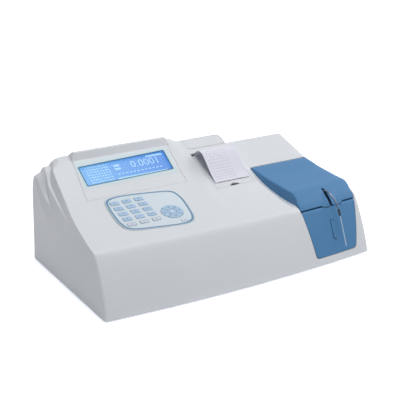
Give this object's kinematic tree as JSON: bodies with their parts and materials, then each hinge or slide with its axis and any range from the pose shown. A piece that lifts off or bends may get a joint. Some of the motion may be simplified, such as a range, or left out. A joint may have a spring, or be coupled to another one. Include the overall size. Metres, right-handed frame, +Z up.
{
  "type": "benchtop chemistry analyzer",
  "caption": "Low sloping benchtop analyzer with tilted display, sealed keypad, strip printer, hinged sample lid and a sipping tube that hangs before a blue front panel.",
  "frame": {"origin": "middle of the footprint, on the surface it stands on", "axes": "+X to the instrument's right as its user sees it, +Y to its back, +Z up"},
  "size_m": [0.4198, 0.236, 0.152],
  "materials": {
    "white_casing": "moulded, fine satin grain",
    "blue_plastic": "moulded, satin",
    "dark_plastic": "moulded, fine grain",
    "window": "clear polished",
    "screen": "backlit graphic screen",
    "overlay": "printed film",
    "key_blue": "moulded",
    "rubber": "moulded",
    "paper": "thermal paper",
    "steel": "turned",
    "aluminium": "sheet, brushed",
    "tube": "clear flexible tube",
    "board": "circuit board"
  },
  "bodies": {
    "casing": {"upper_casing": "white_casing", "display_plate": "white_casing", "printer_cover": "white_casing", "front_panel": "blue_plastic", "printer_frame": "dark_plastic", "print_head": "dark_plastic", "sipper_sleeve": "dark_plastic", "base_tray": "dark_plastic", "power_inlet": "dark_plastic", "power_switch": "dark_plastic", "flow_cell": "dark_plastic", "detector": "dark_plastic", "pump_body": "dark_plastic", "display_window": "window", "lcd_module": "screen", "keypad_overlay": "overlay", "foot_1": "rubber", "foot_2": "rubber", "foot_3": "rubber", "foot_4": "rubber", "lid_hinge_pin": "steel", "sipper_needle": "steel", "panel_screw": "steel", "filter_motor": "steel", "rear_panel": "aluminium", "power_supply": "aluminium", "optical_bench": "aluminium", "lamp_housing": "aluminium", "sipper_tube": "tube", "main_board": "board"},
    "lid": {"sample_lid": "blue_plastic"},
    "printer_door_body": {"printer_door": "white_casing", "paper_strip": "paper"},
    "platen": {"platen_roller": "rubber"},
    "roll": {"paper_roll": "paper"},
    "paddle": {"aspirate_paddle": "blue_plastic"},
    "rocker": {"rocker_button": "rubber"},
    "wheel": {"filter_wheel": "aluminium"},
    "pump": {"pump_rotor": "steel"},
    "key_0_cap": {"key_0": "key_blue"},
    "key_1_cap": {"key_1": "key_blue"},
    "key_2_cap": {"key_2": "key_blue"},
    "key_3_cap": {"key_3": "key_blue"},
    "key_4_cap": {"key_4": "key_blue"},
    "key_5_cap": {"key_5": "key_blue"},
    "key_6_cap": {"key_6": "key_blue"},
    "key_7_cap": {"key_7": "key_blue"},
    "key_8_cap": {"key_8": "key_blue"},
    "key_9_cap": {"key_9": "key_blue"},
    "key_dot_cap": {"key_dot": "key_blue"},
    "key_clear_cap": {"key_clear": "key_blue"},
    "key_f1_cap": {"key_f1": "key_blue"},
    "key_f2_cap": {"key_f2": "key_blue"},
    "key_f3_cap": {"key_f3": "key_blue"},
    "key_small_cap": {"key_small": "key_blue"},
    "key_right_cap": {"key_right": "key_blue"},
    "key_up_cap": {"key_up": "key_blue"},
    "key_left_cap": {"key_left": "key_blue"},
    "key_down_cap": {"key_down": "key_blue"},
    "key_enter_cap": {"key_enter": "key_blue"}
  },
  "joints": [
    {"name": "lid_hinge", "type": "hinge", "parent": "casing", "child": "lid", "pos_m": [0.155, 0.0412, 0.0986], "axis": [-1, 0, 0], "range_deg": [0, 80]},
    {"name": "printer_door_hinge", "type": "hinge", "parent": "casing", "child": "printer_door_body", "pos_m": [0.053, 0.068, 0.12236], "axis": [-1, 0, 0], "range_deg": [0, 52]},
    {"name": "paddle_press", "type": "slide", "parent": "casing", "child": "paddle", "axis": [0, 0.9135, -0.4067], "range_m": [0, 0.003], "stiffness_N_per_m": 250, "springref_m": -0.001},
    {"name": "paper_roll_spin", "type": "hinge", "parent": "casing", "child": "roll", "pos_m": [0.053, 0.04, 0.0835], "axis": [1, 0, 0], "continuous": true},
    {"name": "platen_spin", "type": "hinge", "parent": "casing", "child": "platen", "pos_m": [0.053, 0.0675, 0.11354], "axis": [1, 0, 0], "continuous": true},
    {"name": "rocker_tilt", "type": "hinge", "parent": "casing", "child": "rocker", "pos_m": [-0.08, 0.1137, 0.034], "axis": [1, 0, 0], "range_deg": [0, 12]},
    {"name": "filter_wheel_spin", "type": "hinge", "parent": "casing", "child": "wheel", "pos_m": [0.128, -0.02, 0.036], "axis": [1, 0, 0], "continuous": true},
    {"name": "pump_spin", "type": "hinge", "parent": "casing", "child": "pump", "pos_m": [0.172, 0.07, 0.038], "axis": [0, 1, 0], "continuous": true},
    {"name": "key_0_press", "type": "slide", "parent": "casing", "child": "key_0_cap", "axis": [0, 0.237, -0.9715], "range_m": [0, 0.0005], "stiffness_N_per_m": 400, "springref_m": -0.0002},
    {"name": "key_1_press", "type": "slide", "parent": "casing", "child": "key_1_cap", "axis": [0, 0.237, -0.9715], "range_m": [0, 0.0005], "stiffness_N_per_m": 400, "springref_m": -0.0002},
    {"name": "key_2_press", "type": "slide", "parent": "casing", "child": "key_2_cap", "axis": [0, 0.237, -0.9715], "range_m": [0, 0.0005], "stiffness_N_per_m": 400, "springref_m": -0.0002},
    {"name": "key_3_press", "type": "slide", "parent": "casing", "child": "key_3_cap", "axis": [0, 0.237, -0.9715], "range_m": [0, 0.0005], "stiffness_N_per_m": 400, "springref_m": -0.0002},
    {"name": "key_4_press", "type": "slide", "parent": "casing", "child": "key_4_cap", "axis": [0, 0.237, -0.9715], "range_m": [0, 0.0005], "stiffness_N_per_m": 400, "springref_m": -0.0002},
    {"name": "key_5_press", "type": "slide", "parent": "casing", "child": "key_5_cap", "axis": [0, 0.237, -0.9715], "range_m": [0, 0.0005], "stiffness_N_per_m": 400, "springref_m": -0.0002},
    {"name": "key_6_press", "type": "slide", "parent": "casing", "child": "key_6_cap", "axis": [0, 0.237, -0.9715], "range_m": [0, 0.0005], "stiffness_N_per_m": 400, "springref_m": -0.0002},
    {"name": "key_7_press", "type": "slide", "parent": "casing", "child": "key_7_cap", "axis": [0, 0.237, -0.9715], "range_m": [0, 0.0005], "stiffness_N_per_m": 400, "springref_m": -0.0002},
    {"name": "key_8_press", "type": "slide", "parent": "casing", "child": "key_8_cap", "axis": [0, 0.237, -0.9715], "range_m": [0, 0.0005], "stiffness_N_per_m": 400, "springref_m": -0.0002},
    {"name": "key_9_press", "type": "slide", "parent": "casing", "child": "key_9_cap", "axis": [0, 0.237, -0.9715], "range_m": [0, 0.0005], "stiffness_N_per_m": 400, "springref_m": -0.0002},
    {"name": "key_dot_press", "type": "slide", "parent": "casing", "child": "key_dot_cap", "axis": [0, 0.237, -0.9715], "range_m": [0, 0.0005], "stiffness_N_per_m": 400, "springref_m": -0.0002},
    {"name": "key_clear_press", "type": "slide", "parent": "casing", "child": "key_clear_cap", "axis": [0, 0.237, -0.9715], "range_m": [0, 0.0005], "stiffness_N_per_m": 400, "springref_m": -0.0002},
    {"name": "key_f1_press", "type": "slide", "parent": "casing", "child": "key_f1_cap", "axis": [0, 0.237, -0.9715], "range_m": [0, 0.0005], "stiffness_N_per_m": 400, "springref_m": -0.0002},
    {"name": "key_f2_press", "type": "slide", "parent": "casing", "child": "key_f2_cap", "axis": [0, 0.237, -0.9715], "range_m": [0, 0.0005], "stiffness_N_per_m": 400, "springref_m": -0.0002},
    {"name": "key_f3_press", "type": "slide", "parent": "casing", "child": "key_f3_cap", "axis": [0, 0.237, -0.9715], "range_m": [0, 0.0005], "stiffness_N_per_m": 400, "springref_m": -0.0002},
    {"name": "key_small_press", "type": "slide", "parent": "casing", "child": "key_small_cap", "axis": [0, 0.237, -0.9715], "range_m": [0, 0.0005], "stiffness_N_per_m": 400, "springref_m": -0.0002},
    {"name": "key_right_press", "type": "slide", "parent": "casing", "child": "key_right_cap", "axis": [0, 0.237, -0.9715], "range_m": [0, 0.0005], "stiffness_N_per_m": 400, "springref_m": -0.0002},
    {"name": "key_up_press", "type": "slide", "parent": "casing", "child": "key_up_cap", "axis": [0, 0.237, -0.9715], "range_m": [0, 0.0005], "stiffness_N_per_m": 400, "springref_m": -0.0002},
    {"name": "key_left_press", "type": "slide", "parent": "casing", "child": "key_left_cap", "axis": [0, 0.237, -0.9715], "range_m": [0, 0.0005], "stiffness_N_per_m": 400, "springref_m": -0.0002},
    {"name": "key_down_press", "type": "slide", "parent": "casing", "child": "key_down_cap", "axis": [0, 0.237, -0.9715], "range_m": [0, 0.0005], "stiffness_N_per_m": 400, "springref_m": -0.0002},
    {"name": "key_enter_press", "type": "slide", "parent": "casing", "child": "key_enter_cap", "axis": [0, 0.237, -0.9715], "range_m": [0, 0.0005], "stiffness_N_per_m": 400, "springref_m": -0.0002}
  ],
  "couplings": [
    {"joint": "platen_spin", "follows": "paper_roll_spin", "ratio": 3.8}
  ]
}
